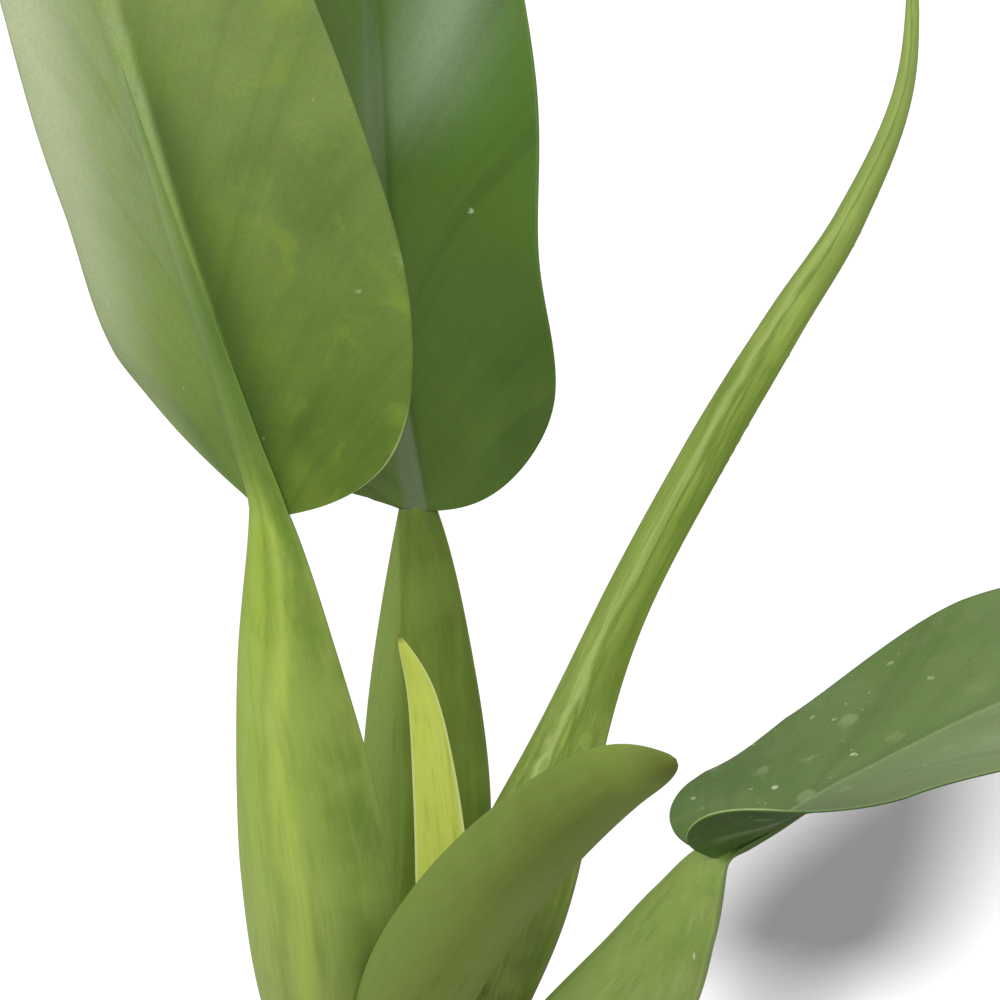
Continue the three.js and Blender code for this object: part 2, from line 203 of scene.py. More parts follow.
class Paint:
    def __init__(self, name, **gloss):
        self.material = bpy.data.materials.new(name)
        self.material.use_nodes = True
        self.tree = self.material.node_tree
        self.tree.nodes.clear()
        self.shader = self.tree.nodes.new("ShaderNodeBsdfPrincipled")
        output = self.tree.nodes.new("ShaderNodeOutputMaterial")
        self.tree.links.new(self.shader.outputs["BSDF"], output.inputs["Surface"])
        for socket, value in gloss.items():
            self.shader.inputs[socket.replace("_", " ")].default_value = value

    def node(self, kind, settings=None, sockets=None, out=0):
        made = self.tree.nodes.new(kind)
        for key, value in (settings or {}).items():
            setattr(made, key, value)
        for key, value in (sockets or {}).items():
            if isinstance(value, Wire):
                self.tree.links.new(value.socket, made.inputs[key])
            else:
                made.inputs[key].default_value = value
        return Wire(self, made.outputs[out])

    def math(self, operation, *values):
        return self.node("ShaderNodeMath", {"operation": operation}, dict(enumerate(values)))

    def vectorMath(self, operation, sockets):
        return self.node("ShaderNodeVectorMath", {"operation": operation}, sockets)

    def split(self, vector):
        kind = "ShaderNodeSeparateXYZ"
        return [self.node(kind, None, {0: vector}, out=axis) for axis in range(3)]

    def attribute(self, name):
        settings = {"attribute_name": name}
        return self.split(self.node("ShaderNodeAttribute", settings, out="Vector"))

    def place(self):
        return self.node("ShaderNodeTexCoord", out="Object")

    def join(self, x, y, z):
        return self.node("ShaderNodeCombineXYZ", None, {0: x, 1: y, 2: z})

    def noise(self, vector, scale, detail=2.0, roughness=0.5, distortion=0.0):
        sockets = {"Vector": vector, "Scale": scale, "Detail": detail,
                   "Roughness": roughness, "Distortion": distortion}
        return self.node("ShaderNodeTexNoise", None, sockets)

    def warp(self, vector, scale, amount):
        sockets = {"Vector": vector, "Scale": scale, "Detail": 2.0}
        push = self.node("ShaderNodeTexNoise", None, sockets, out="Color")
        away = self.vectorMath("SUBTRACT", {0: push, 1: (0.5, 0.5, 0.5)})
        away = self.vectorMath("SCALE", {0: away, "Scale": amount})
        return self.vectorMath("ADD", {0: vector, 1: away})

    # ragged spots of a size, in a share of the cells
    def specks(self, vector, scale, size, share):
        warped = self.warp(vector, scale * 2.2, 0.55 / scale)
        sockets = {"Vector": warped, "Scale": scale, "Randomness": 1.0}
        distance = self.node("ShaderNodeTexVoronoi", None, sockets)
        lot = self.split(self.node("ShaderNodeTexVoronoi", None, sockets, out="Color"))[0]
        return distance.rise(size, size * 0.5) * lot.rise(1 - share, 1 - share * 0.9)

    # a and b are wires or screen colours
    def mix(self, factor, a, b):
        a, b = [tint(*tone) if isinstance(tone, tuple) else tone for tone in (a, b)]
        sockets = {0: factor, 6: a, 7: b}
        return self.node("ShaderNodeMix", {"data_type": "RGBA"}, sockets, out=2)

    # lays a tone over the colour so far
    def lay(self, factor, tone):
        self.color = self.mix(factor, self.color, tone)

    # the shader takes the colour so far, a roughness and a relief
    def finish(self, roughness, height, strength, depth):
        sockets = {"Height": height, "Strength": strength, "Distance": depth}
        relief = self.node("ShaderNodeBump", None, sockets)
        wires = {"Base Color": self.color, "Roughness": roughness, "Normal": relief}
        for socket, wire in wires.items():
            self.tree.links.new(wire.socket, self.shader.inputs[socket])
        return self.material


# a blade's skin, unless its own tones say otherwise; scales are in cells to a metre
plainBlade = {
    "sweep": 2.1, "curl": 18.0, "veinScale": 300.0, "bandScale": 85.0, "cloudScale": 24.0,
    "patchScale": 75.0, "grainScale": 1500.0, "grain": 0.14, "bands": 0.3, "veins": 0.06,
    "tipTonesFrom": 0.65, "otherShare": 0.7, "otherSide": (0.6, 0.4), "paintedSheenHigh": (1.2, 0.9),
    "valleyFade": 0, "paintedValleyShadeEnd": (0.95, 0.35), "line": 0.0, "lineAt": 0.0,
    "lineAndGlintTone": (130, 150, 100), "glint": 0.0, "glintAt": 6.0,
    "fleckScale": 240.0, "fleck": 0.75, "fleckTone": (196, 206, 172), "dustScale": 620.0,
    "blotchScale": 110.0, "blotch": 0.28, "blotchTone": (170, 188, 140),
    "shine": 0.3, "bump": 0.3, "bumpDepth": 0.0006,
}


def paintBlade(name, own):
    tones = {**plainBlade, **own}
    paint = Paint(name, Specular_IOR_Level=tones["shine"],
                  Subsurface_Weight=0.06, Subsurface_Scale=0.002)
    u, v, upper = paint.attribute("share")
    across, _, along = paint.attribute("straight")
    place, off, fromRib = paint.place(), across.size(), across * 1000.0
    dark, light = tones["dark"], tones["light"]
    # side veins leave the rib steeply and run out to the margin
    sweep = along - off * tones["sweep"] + off * off * tones["curl"]
    half = u.rise(-0.01, 0.01)
    veins = paint.noise(paint.join(sweep, off * 0.06, half), tones["veinScale"], 2.0, 0.6)
    bands = paint.noise(paint.join(sweep, off * 0.15, half + 3.0), tones["bandScale"], 3.0, 0.55)
    cloud = paint.noise(place, tones["cloudScale"], 3.0, 0.55, 0.4)
    patches = paint.noise(place, tones["patchScale"], 3.0, 0.6, 0.6)
    grain = paint.noise(place, tones["grainScale"], 2.0, 0.6)
    # the two halves have tones of their own, partly painted light: each half's tone is set lighter
    # or darker to match how the light falls on it, and they meet at the valley beside the rib
    upwards = v.rise(0.0, tones["tipTonesFrom"])
    left, right = paint.mix(upwards, *tones["minus"]), paint.mix(upwards, *tones["plus"])
    beside = fromRib * tones["valleySide"] - tones["valleyAt"]
    halves = (left, right) if tones["valleySide"] > 0 else (right, left)
    step = beside.rise(-0.6, v * v * tones["valleyFade"] + 0.5)
    paint.color = paint.mix(step, *halves)
    other = upper.rise(*tones["otherSide"])
    paint.lay(other * tones["otherShare"], tones["other"])
    paint.lay(cloud.rise(0.42, 0.7) * tones["cloud"], light)
    paint.lay(cloud.rise(0.48, 0.3) * tones["cloud"] * 0.6, dark)
    paint.lay(patches.rise(0.5, 0.72) * tones["patches"], light)
    paint.lay(bands.rise(0.48, 0.72) * tones["bands"], dark)
    paint.lay((veins - 0.5).size().rise(0.06, 0.0) * tones["veins"], light)
    # painted sheen: a pale band laid into the colour stands in for light reflected off the blade
    centre = v * tones["paintedSheenSlope"] + tones["paintedSheenStart"]
    paintedSheen = (u - centre + (bands - 0.5) * 0.25).bell((v * 0.8 + 0.6) * tones["paintedSheenWidth"])
    paintedSheen = paintedSheen * v.rise(*tones["paintedSheenLow"]) * v.rise(*tones["paintedSheenHigh"]) * (1.0 - other)
    paint.lay(paintedSheen * tones["paintedSheen"], tones["paintedSheenTone"])
    # painted shade: the valley beside the rib is darkened on one side of it
    paintedValleyShade = step * (beside / (v.rise(0.0, 0.3) * 0.6 + 0.4)).bell(tones["paintedValleyShadeWidth"])
    paintedValleyShade = paintedValleyShade * v.rise(*tones["paintedValleyShadeEnd"])
    paint.lay(paintedValleyShade * tones["paintedValleyShade"], dark)
    rib = fromRib.bell(1.0 + tones["ribWidth"] * (1.0 - v)).rise(0.2, 0.8)
    paint.lay(rib * tones["rib"] * v.rise(0.95, 0.2), tones["ribTone"])
    line = (fromRib - tones["lineAt"]).bell(0.5) * v.rise(0.9, 0.5) * (patches * 0.6 + 0.7)
    paint.lay((line * tones["line"]).clipped(), tones["lineAndGlintTone"])
    # the pale rim on one half is partly the leaf's own pale margin and partly a painted highlight
    minusEdge, plusEdge = tones["margin"]
    ending = v.rise(tones["marginEnd"] + 0.05, tones["marginEnd"] - 0.05)
    margin = u.size().rise(0.985, 0.993) * ending * (1.0 - other)
    margin = margin * (u.rise(-0.1, 0.1) * (plusEdge - minusEdge) + minusEdge)
    paint.lay(margin, tones["marginAndHighlightTone"])
    # painted highlight: a pale glint streak on the other side, in the line's tone
    glint = (off * 1000.0 - tones["glintAt"] + (patches - 0.5) * 4.0).bell(1.6)
    glint = glint * v.rise(0.02, 0.08) * v.rise(0.42, 0.2) * other
    paint.lay(glint * tones["glint"], tones["lineAndGlintTone"])
    paint.lay(grain.rise(0.4, 0.75) * tones["grain"], dark)
    # pale flecks, dust and blotches lie low on the blade, away from the dark of the clouds
    spot = v.rise(0.04, 0.16) * v.rise(0.62, 0.42) * cloud.rise(0.4, 0.52)
    dust = paint.specks(place, tones["dustScale"], 0.2, tones["flecks"] * 0.5)
    dust = dust * patches.rise(0.46, 0.56)
    fleck = paint.specks(place, tones["fleckScale"], 0.22, tones["flecks"])
    paint.lay((fleck + dust).clipped() * spot * tones["fleck"], tones["fleckTone"])
    blotch = paint.specks(place, tones["blotchScale"], 0.34, tones["flecks"] * 1.2)
    paint.lay(blotch * spot * tones["blotch"], tones["blotchTone"])
    roughness = cloud * 0.16 + tones["roughness"] + (bands - 0.5) * 0.12 + other * 0.3
    relief = veins * 0.4 + bands * 0.9 + patches * 0.6 + grain * 0.06
    return paint.finish(roughness, relief, tones["bump"], tones["bumpDepth"])


# a stalk's skin, unless its own tones say otherwise
plainStalk = {
    "fibreScale": 1700.0, "strandScale": 420.0, "wanderScale": 45.0, "patchScale": 110.0,
    "cloudScale": 38.0, "neckAt": 0.57, "fadeOver": 0.1, "ribFade": 1.0, "ribCalm": 0.7,
    "paintedLightSide": 0.0, "paintedLightSideAt": 0.0, "paintedLightSideSoft": 1.0, "paintedLightSideTone": (126, 150, 72),
    "darkSide": 1.0, "ridge": 0.0, "ridgeAt": 0.0, "ridgeWidth": 0.2, "ridgeFace": 1.0,
    "ridgeLean": 0.0, "ridgeHighlightTone": (130, 150, 80), "ragged": 0.2, "paintedGrooveShade": 0.0,
    "tipDark": 0.0, "tipTone": (74, 62, 34),
    "fleckScale": 190.0, "fleck": 0.7, "fleckTone": (222, 228, 200),
    "shine": 0.22, "roughness": 0.42, "bump": 0.3, "bumpDepth": 0.0006,
}


def paintStalk(name, own):
    tones = {**plainStalk, **own}
    paint = Paint(name, Specular_IOR_Level=tones["shine"],
                  Subsurface_Weight=0.08, Subsurface_Scale=0.003)
    side, s, face = paint.attribute("share")
    x, y, z = paint.attribute("straight")
    # the grain runs along the stalk, so its noises are drawn out that way
    fibre = paint.noise(paint.join(x, y, z * 0.025), tones["fibreScale"], 3.0, 0.65)
    strand = paint.noise(paint.join(x, y, z * 0.05), tones["strandScale"], 3.0, 0.6, 0.3)
    wander = paint.noise(paint.join(0.0, 0.0, z), tones["wanderScale"], 2.0, 0.5)
    patches = paint.noise(paint.join(x, y, z * 0.3), tones["patchScale"], 3.0, 0.6, 0.5)
    cloud = paint.noise(paint.place(), tones["cloudScale"], 3.0, 0.6)
    dark, light, neckAt = tones["dark"], tones["light"], tones["neckAt"]
    paint.color = paint.mix(s.rise(0.0, neckAt), tones["foot"], tones["neck"])
    past = s.rise(neckAt - 0.01, neckAt + tones["fadeOver"]) * tones["ribFade"]
    paint.lay(past, tones["ribTone"])
    paint.lay(s.rise(neckAt + 0.05, 1.0) * tones["ribFade"], tones["ribEnd"])
    # painted light: one side of the stalk is lightened as if lit
    paintedLightSide = (x * 1000.0 - tones["paintedLightSideAt"]).rise(tones["paintedLightSideSoft"], -tones["paintedLightSideSoft"])
    paint.lay(paintedLightSide * tones["paintedLightSide"], tones["paintedLightSideTone"])
    calm = 1.0 - past * tones["ribCalm"]
    # painted shade: one side of the stalk is darkened as if turned from the light
    paint.lay((side * tones["darkSide"]).rise(-0.2, 1.0) * tones["shade"], dark)
    paint.lay(cloud.rise(0.42, 0.72) * calm * tones["cloud"], light)
    paint.lay(patches.rise(0.5, 0.72) * calm * tones["patches"], light)
    paint.lay(patches.rise(0.46, 0.26) * calm * tones["patches"], dark)
    # a painted highlight runs as a pale line along the ridge and wanders a little, with a dark line
    # of painted shade beside it
    near = side - tones["ridgeAt"] + (wander - 0.5) * 0.5
    near = near - s.rise(*growth["leanOver"]) * tones["ridgeLean"]
    near = near + (strand - 0.5) * tones["ragged"]
    facing = (face * tones["ridgeFace"]).rise(0.0, 0.5)
    ridge = near.bell(tones["ridgeWidth"]) * (strand * 0.8 + 0.4) * facing * (1.0 - past)
    paint.lay((ridge * tones["ridge"]).clipped(), tones["ridgeHighlightTone"])
    paintedGrooveShade = (near - tones["ridgeWidth"] * 1.7).bell(tones["ridgeWidth"] * 0.6)
    paint.lay(paintedGrooveShade * facing * tones["paintedGrooveShade"], dark)
    paint.lay(strand.rise(0.52, 0.72) * calm * tones["streak"], light)
    paint.lay(strand.rise(0.46, 0.28) * calm * tones["streak"], dark)
    paint.lay(fibre.rise(0.52, 0.75) * calm * tones["fibre"], dark)
    paint.lay(fibre.rise(0.46, 0.25) * calm * tones["fibre"], light)
    paint.lay(side.size().rise(0.94, 0.995) * tones["edge"], tones["edgeTone"])
    paint.lay(s.rise(0.965, 1.0) * tones["tipDark"], tones["tipTone"])
    fleck = paint.specks(paint.place(), tones["fleckScale"], 0.14, tones["flecks"])
    paint.lay(fleck * tones["fleck"], tones["fleckTone"])
    roughness = cloud * 0.16 + tones["roughness"] + (strand - 0.5) * 0.12
    relief = fibre * 0.25 + strand * 0.8 + patches * 0.7
    return paint.finish(roughness, relief, tones["bump"], tones["bumpDepth"])


# leaves: the same routes and laws as the solids, grown finely
growth = {
    "joint": 4, "ribSpans": 3, "stalkTaper": 1.6, "ribTaper": 0.6, "ribTip": 0.8, "blend": 0.7,
    "keenness": 1.3, "ribFront": 0.04, "thinOver": 0.12, "keelWidth": 0.12,
    "leanOver": (0.34, 0.53), "leastTip": 0.06, "keelKeenness": 4, "footing": 2.5,
    "baseRound": 3, "tipTaper": 2.4, "tipKeenness": 1.1, "opening": 0.4, "lobeCurve": 1.5,
    "ripples": 2.5, "rippleLag": 0.35, "waveSetIn": 6, "swell": 1.0, "swellSize": 24,
    "swellSetIn": 8, "ribHalf": (4.2, 1.2), "ribNarrowing": 0.7, "ribUnder": 0.35,
    "ribUnderTip": 0.5, "ribUnderFade": 0.6, "ribAbove": 0.3, "thickness": 0.7, "tipThin": 0.5,
    "rowSpacing": 1.3, "edgeSpacing": 0.15, "tipFlat": 0.995, "tipJoin": 0.99,
    "rows": 180, "columns": 76, "sides": 72, "rings": 170,
}

frontLeftLeaf = {
    "name": "frontLeftLeaf", "node": "leaf_front_left",
    "route": [
        (-10, -5, 124, 170), (-17, -14, 166, 170), (-19, -22, 206, 168), (-23, -24, 252, 150),
        (-26.4, -26, 288, 138), (-34, -28, 316, 145), (-44.5, -26, 350, 147), (-57, -16, 391, 149),
        (-70, 0, 428, 151), (-87, 30, 466, 151),
    ],
    "stalk": {
        "foot": 6, "belly": 16, "neck": 5.4, "peak": 0.5, "front": 0.35, "back": 0.7,
        "ridge": 0.5, "ridgeLean": -0.6,
    },
    "blade": {
        "half": 42.3, "widest": 0.4, "reach": (1, 1), "fold": (12, 12, 20), "lobes": (-1, -3),
        "rib": 3, "wave": 0.8,
    },
    "bladeTones": {
        "minus": ((82, 108, 32), (118, 138, 74)), "plus": ((106, 138, 48), (144, 162, 106)),
        "other": (70, 98, 40), "otherSide": (0.4, 0.6),
        "dark": (52, 80, 22), "light": (126, 150, 54), "cloud": 0.5, "patches": 0.45, "bands": 0.25,
        "rib": 0.3, "ribWidth": 1.8, "ribTone": (118, 142, 64),
        "paintedSheen": 0.78, "paintedSheenSlope": -0.25, "paintedSheenStart": 0.98, "paintedSheenWidth": 0.4,
        "paintedSheenLow": (-0.3, 0.68), "paintedSheenTone": (196, 206, 166),
        "paintedValleyShade": 0.78, "valleySide": -1.0, "valleyAt": 2.4, "paintedValleyShadeWidth": 7.5,
        "valleyFade": 4.5, "paintedValleyShadeEnd": (0.66, 0.44),
        "margin": (0.8, 0.0), "marginEnd": 0.13, "marginAndHighlightTone": (186, 200, 136),
        "flecks": 0.03, "shine": 0.2, "roughness": 0.42,
    },
    "stalkTones": {
        "foot": (168, 184, 106), "neck": (148, 175, 61),
        "ribTone": (101, 131, 55), "ribEnd": (130, 149, 99),
        "dark": (80, 112, 38), "light": (172, 190, 98), "darkSide": -1.0, "shade": 0.72,
        "cloud": 0.35, "patches": 0.25, "streak": 0.14, "fibre": 0.16,
        "ridge": 0.6, "ridgeAt": 0.08, "ridgeWidth": 0.17, "ridgeFace": -1.0, "ridgeLean": -0.6,
        "ridgeHighlightTone": (178, 196, 88), "ragged": 0.3, "paintedGrooveShade": 0.2,
        "edge": 0.2, "edgeTone": (170, 190, 100), "flecks": 0.02,
    },
}
backLeaf = {
    "name": "backLeaf", "node": "leaf_back",
    "route": [
        (-3, 10, 128, 0), (-1, 18, 160, 0), (2, 22, 191, 0), (2, 25, 228, -4),
        (1, 28, 264, -8), (-3, 31, 288, -3), (-6, 33, 324, -10), (-8, 34, 364, 2),
        (-10, 31, 418, 8), (-13, 20, 464, 8),
    ],
    "stalk": {
        "foot": 6, "belly": 14, "neck": 4, "peak": 0.52, "front": 0.35, "back": 0.7, "ridge": 0.3,
    },
    "blade": {
        "half": 36.5, "widest": 0.42, "reach": (1, 1), "fold": (8, 8, 20), "lobes": (-4, 2),
        "rib": 2.6, "wave": 0.8,
    },
    "bladeTones": {
        "minus": ((98, 119, 62), (88, 116, 54)), "plus": ((82, 108, 43), (94, 131, 53)),
        "other": (112, 136, 66),
        "dark": (52, 80, 28), "light": (100, 130, 50), "cloud": 0.3, "patches": 0.25,
        "rib": 0.75, "ribWidth": 1.9, "ribTone": (112, 127, 98),
        "paintedSheen": 0.85, "paintedSheenSlope": 2.8, "paintedSheenStart": -1.26, "paintedSheenWidth": 0.26,
        "paintedSheenLow": (0.45, 0.62), "paintedSheenHigh": (0.9, 0.75), "paintedSheenTone": (160, 184, 150),
        "paintedValleyShade": 0.6, "valleySide": 1.0, "valleyAt": 2.4, "paintedValleyShadeWidth": 1.6,
        "margin": (0.1, 0.1), "marginEnd": 0.2, "marginAndHighlightTone": (120, 140, 90),
        "flecks": 0.012, "roughness": 0.36,
    },
    "stalkTones": {
        "foot": (114, 138, 58), "neck": (106, 126, 50),
        "ribTone": (92, 114, 52), "ribEnd": (96, 118, 60),
        "paintedLightSide": 0.75, "paintedLightSideAt": -4.3, "paintedLightSideSoft": 0.5, "paintedLightSideTone": (134, 156, 78),
        "dark": (76, 98, 36), "light": (132, 154, 72), "shade": 0.4,
        "cloud": 0.3, "patches": 0.25, "streak": 0.22, "fibre": 0.2,
        "ridge": 0.1, "ridgeAt": -0.75, "ridgeHighlightTone": (130, 148, 80), "paintedGrooveShade": 0.2,
        "edge": 0.2, "edgeTone": (140, 158, 90), "flecks": 0.01,
    },
}
rightLeaf = {
    "name": "rightLeaf", "node": "leaf_right",
    "route": [
        (9, -6, 121, -40), (28, -11, 147, -40), (46, -15, 173, -42), (55, -18, 193, -50),
        (62, -20, 209, -100), (72, -17, 213, -100), (90, -10, 221, -98), (128, 5, 233, -84),
        (170, 22, 236, -84), (224, 38, 228, -84),
    ],
    "stalk": {
        "foot": 6, "belly": 14.5, "neck": 3.8, "peak": 0.35, "front": 0.35, "back": 0.7,
        "ridge": 0, "neckTurn": -60,
    },
    "blade": {
        "half": 34.5, "widest": 0.45, "reach": (1.03, 1), "fold": (20, 40, 8), "lobes": (6.5, 7),
        "rib": 2.4, "wave": 0.8,
    },
    "bladeTones": {
        "minus": ((76, 104, 42), (97, 124, 60)), "plus": ((90, 110, 60), (118, 138, 88)),
        # the dark other side is painted shade: it darkens the folded-up underside by the rim, in
        # the shade of the fold
        "other": (60, 98, 20), "otherShare": 1.0,
        "dark": (60, 84, 40), "light": (116, 136, 84), "cloud": 0.35, "patches": 0.35,
        "veins": 0.08, "rib": 0.35, "ribWidth": 1.4, "ribTone": (122, 144, 88),
        "paintedSheen": 0.3, "paintedSheenSlope": 0.0, "paintedSheenStart": 0.5, "paintedSheenWidth": 0.3,
        "paintedSheenLow": (0.3, 0.6), "paintedSheenTone": (150, 168, 128),
        "paintedValleyShade": 0.3, "valleySide": -1.0, "valleyAt": 0.7, "paintedValleyShadeWidth": 3.0,
        "line": 0.45, "lineAt": -0.6, "lineAndGlintTone": (146, 166, 112), "glint": 0.5, "glintAt": 8.0,
        "margin": (0.0, 0.85), "marginEnd": 0.22, "marginAndHighlightTone": (160, 180, 118),
        "flecks": 0.28, "roughness": 0.38,
    },
    "stalkTones": {
        "foot": (134, 158, 82), "neck": (138, 162, 80), "fadeOver": 0.06,
        "ribTone": (76, 104, 40), "ribEnd": (82, 108, 48),
        "dark": (96, 122, 52), "light": (166, 184, 112), "shade": 0.2,
        "cloud": 0.35, "patches": 0.3, "streak": 0.3, "fibre": 0.24,
        "edge": 0.1, "edgeTone": (180, 196, 130), "flecks": 0.25,
    },
}


# half the width of a stalk at its share of the way up
def stalkHalf(stalk, s):
    if "spread" in stalk:
        swell = math.exp(-(((s - stalk["peak"]) / stalk["spread"]) ** 2))
        return lerp(stalk["neck"], stalk["belly"], swell)
    if s < stalk["peak"]:
        return lerp(stalk["belly"], stalk["foot"], (1 - s / stalk["peak"]) ** 2)
    share = (s - stalk["peak"]) / (1 - stalk["peak"])
    return lerp(stalk["belly"], stalk["neck"], share ** growth["stalkTaper"])


def sectionPoint(place, half, angle, front, back):
    point, _, face, side = place
    rise = math.sin(angle)
    depth = (front if rise > 0 else back) * math.copysign(abs(rise) ** growth["keenness"], rise)
    return point + side * (half * math.cos(angle)) + face * (half * depth)


# where a point of the skin lies: its share of the way, and its place on a straight piece
def addLayers(mesh):
    return [mesh.verts.layers.float_vector.new(name) for name in ("share", "straight")]


# a ball's points, each with its share of the way up and its angle around
def addBall(mesh, sides, rings):
    ball = bmesh.ops.create_uvsphere(mesh, u_segments=sides, v_segments=rings, radius=1)["verts"]
    shares = [math.acos(clamp(-vert.co.z, -1, 1)) / math.pi for vert in ball]
    angles = [math.atan2(vert.co.y, vert.co.x) for vert in ball]
    return list(zip(ball, shares, angles))


# a shoot starts as a ball, and the rings of the ball are laid along a course
def growShoot(mesh, sides, rings, place, length, layers, material=0):
    share, straight = layers
    made = addBall(mesh, sides, rings)
    for vert, s, angle in made:
        reach = 0.0 if min(s, 1 - s) < 0.5 / rings else 1.0
        at, half = place(s, angle, reach)
        vert[share] = (math.cos(angle), s, math.sin(angle))
        across, deep = half * math.cos(angle) * mm, half * math.sin(angle) * mm
        vert[straight] = (across, deep, s * length * mm)
        vert.co = at * mm
    for face in {face for vert, _, _ in made for face in vert.link_faces}:
        face.material_index = material


def growStalk(mesh, leaf, layers):
    stalk, joint, spans = leaf["stalk"], growth["joint"], growth["ribSpans"]
    blade, route = Course(leaf["route"][joint:]), list(leaf["route"])
    route[joint] = (*route[joint][:3], stalk.get("neckTurn", route[joint][3]))
    whole = Course(route)

    def place(s, angle, reach):
        at = s * (joint + spans)
        past = max(0.0, at - joint) / spans
        half = stalkHalf(stalk, min(1.0, at / joint))
        frameHere = whole.at(at)
        front = stalk["front"]
        if past > 0:
            half = lerp(half, growth["ribTip"], past ** growth["ribTaper"])
            own = smoothstep(past * spans, 0, growth["blend"])
            frameHere = [a.lerp(b, own) for a, b in zip(frameHere, blade.at(past * spans))]
            thinned = smoothstep(past * spans, 0, growth["thinOver"])
            front = lerp(front, growth["ribFront"], thinned)
        point = sectionPoint(frameHere, half * reach, angle, front, stalk["back"])
        lean = stalk.get("ridgeLean", 0) * smoothstep(s, *growth["leanOver"])
        keel = math.exp(-(((math.cos(angle) - lean) / growth["keelWidth"]) ** 2))
        if math.sin(angle) < 0:
            point -= frameHere[2] * (stalk["ridge"] * keel * reach) * (1 - past)
        return point, half

    length = whole.length(0, joint + spans)
    growShoot(mesh, growth["sides"], growth["rings"], place, length, layers, material=1)


# half the width of a blade at its share of the way to the tip
def bladeHalf(blade, v):
    footing = growth["footing"] * (1 - v)
    if v < blade["widest"]:
        broad = math.sqrt(1 - (1 - v / blade["widest"]) ** growth["baseRound"])
    else:
        beyond = (v - blade["widest"]) / (1 - blade["widest"])
        broad = max(0.0, 1 - beyond ** growth["tipTaper"]) ** growth["tipKeenness"]
    return math.hypot(blade["half"] * broad, footing)


def bladePoint(blade, course, u, v):
    point, along, face, side = course.at(v * course.spans)
    half = 0 if u < 0 else 1
    across = abs(u)
    width = blade["reach"][half] * bladeHalf(blade, v)
    opened = smoothstep(v, 0, growth["opening"])
    rise = math.radians(lerp(blade["fold"][half], blade["fold"][2], opened))
    broad = min(1.0, width / blade["half"]) if v < blade["widest"] else 1.0
    back = blade["lobes"][half] * across ** growth["lobeCurve"] * math.sin(math.pi * broad)
    lag = 0 if half else growth["rippleLag"]
    ripple = math.sin(2 * math.pi * (growth["ripples"] * v + lag))
    wave = blade["wave"] * across ** 2 * min(1.0, growth["waveSetIn"] * v) * (1 - v) * ripple
    out = point + side * (width * u * math.cos(rise))
    out += face * (width * across * math.sin(rise) + wave)
    swell = rough(*out, growth["swellSize"]) * across
    swell *= min(1.0, growth["swellSetIn"] * v) * (1 - v)
    return out + face * (growth["swell"] * swell) - along * back


def growBlade(mesh, leaf, layers):
    share, straight = layers
    blade, course = leaf["blade"], Course(leaf["route"][growth["joint"]:])
    length, closer = course.length(0, course.spans), growth["edgeSpacing"]
    upper = bmesh.ops.create_grid(mesh, x_segments=growth["columns"], y_segments=growth["rows"],
                                  size=1)["verts"]
    for vert in upper:
        even, v = vert.co.x, ((vert.co.y + 1) / 2) ** growth["rowSpacing"]
        u = even * (1 + closer - closer * even ** 2)
        vert[share] = (u, v, 1)
        vert[straight] = (u * bladeHalf(blade, v) * mm, 0, v * length * mm)
        vert.co = bladePoint(blade, course, u, v) * mm
    upperFaces = list({face for vert in upper for face in vert.link_faces})
    twin = bmesh.ops.duplicate(mesh, geom=upper + upperFaces)["geom"]
    lower = [item for item in twin if isinstance(item, bmesh.types.BMVert)]
    lowerFaces = [item for item in twin if isinstance(item, bmesh.types.BMFace)]
    mesh.normal_update()
    # a few faces tell which way the sheet came out
    middle = course.at(1)[2]
    outward = 1 if sum(face.normal.dot(middle) for face in upperFaces[::50]) > 0 else -1
    for verts, above in ((upper, True), (lower, False)):
        for vert in verts:
            u, v, _ = vert[share]
            ribHalf = lerp(*growth["ribHalf"], v ** growth["ribNarrowing"])
            ridge = math.exp(-((u * bladeHalf(blade, v) / ribHalf) ** 2))
            thin = growth["thickness"] / 2 * (1 - growth["tipThin"] * v)
            flat = course.at(course.spans)[2]
            normal = vert.normal * outward if v < growth["tipFlat"] else flat
            if above:
                thick = thin + growth["ribAbove"] * blade["rib"] * (1 - v) * ridge
                vert.co += normal * thick * mm
            else:
                fade = v ** growth["ribUnderFade"]
                under = lerp(blade["rib"] * growth["ribUnder"], growth["ribUnderTip"], fade)
                vert.co -= normal * (thin + under * ridge) * mm
                vert[share] = (u, v, 0)
    bmesh.ops.reverse_faces(mesh, faces=lowerFaces if outward > 0 else upperFaces)
    bmesh.ops.bridge_loops(mesh, edges=[edge for edge in mesh.edges if edge.is_boundary])
    tips = [vert for vert in upper + lower if vert[share][1] > growth["tipJoin"]]
    bmesh.ops.remove_doubles(mesh, verts=tips, dist=1e-5)


def makeLeaf(leaf):
    mesh = bmesh.new()
    layers = addLayers(mesh)
    growBlade(mesh, leaf, layers)
    growStalk(mesh, leaf, layers)
    skins = [paintBlade(leaf["name"] + "Blade", leaf["bladeTones"]),
             paintStalk(leaf["name"] + "Stalk", leaf["stalkTones"])]
    addPiece(leaf["name"], mesh, skins, leaf["node"])
    print(leaf["name"], "grown")


for leaf in (frontLeftLeaf, backLeaf, rightLeaf):
    makeLeaf(leaf)

